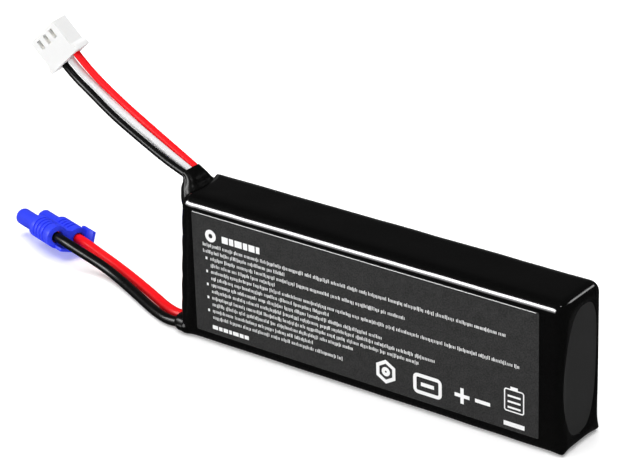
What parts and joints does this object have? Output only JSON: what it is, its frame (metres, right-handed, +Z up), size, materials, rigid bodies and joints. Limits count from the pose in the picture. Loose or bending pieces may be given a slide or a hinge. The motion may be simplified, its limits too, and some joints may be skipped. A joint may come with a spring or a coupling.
{
  "type": "lithium polymer battery pack",
  "caption": "Flat two-cell lithium-polymer battery pack in black shrink film, standing on its long edge, with a white balance plug and a blue bullet discharge plug on short leads.",
  "frame": {"origin": "middle of the narrow long side that the pack stands on, on the surface", "axes": "+X along the pack, away from the leads; +Y through the thickness, away from the printed-label side; +Z up"},
  "size_m": [0.1704, 0.0287, 0.067],
  "materials": {
    "shrink_film": "glossy black heat-shrink film",
    "label_film": "dark charcoal printed film, satin",
    "pad_foam": "dense dark grey foam, matte",
    "fibre_sheet": "insulating fibre sheet",
    "pouch_foil": "aluminium-laminated pouch foil",
    "electrode_stack": "folded electrode and separator stack",
    "aluminium_tab": "bare strip",
    "nickel": "nickel strip",
    "sealant_film": "tab sealant film",
    "bond_tape": "double-sided adhesive sheet",
    "polyimide_tape": "amber tape",
    "board_laminate": "glass laminate with green resist",
    "copper": "plated pads",
    "solder": "solder",
    "lead_red": "soft silicone insulation, semi-gloss",
    "lead_white": "soft silicone insulation, semi-gloss",
    "lead_black": "soft silicone insulation, semi-gloss",
    "white_nylon": "moulded white nylon",
    "tinned_brass": "tinned crimp terminals",
    "blue_nylon": "moulded blue nylon",
    "gold_brass": "gold-plated bullet sockets"
  },
  "bodies": {
    "root": {"shrink_sleeve": "shrink_film", "front_label": "label_film", "back_label": "label_film", "rear_end_pad": "pad_foam", "lead_end_insulator": "fibre_sheet", "cell_1_pouch": "pouch_foil", "cell_2_pouch": "pouch_foil", "cell_1_electrode_stack": "electrode_stack", "cell_2_electrode_stack": "electrode_stack", "cell_1_positive_tab": "aluminium_tab", "cell_1_negative_tab": "nickel", "cell_2_positive_tab": "aluminium_tab", "cell_2_negative_tab": "nickel", "tab_sealant_films": "sealant_film", "cell_bond_pad": "bond_tape", "cell_wrap_tape": "polyimide_tape", "tab_board": "board_laminate", "board_pads": "copper", "series_link": "nickel", "solder_joints": "solder", "balance_exit_collar": "shrink_film", "discharge_exit_collar": "shrink_film", "balance_wire_red": "lead_red", "balance_wire_white": "lead_white", "balance_wire_black": "lead_black", "balance_plug_housing": "white_nylon", "balance_plug_terminals": "tinned_brass", "discharge_wire_red": "lead_red", "discharge_wire_black": "lead_black", "discharge_plug_housing": "blue_nylon", "discharge_contact_positive": "gold_brass", "discharge_contact_negative": "gold_brass"}
  },
  "joints": []
}
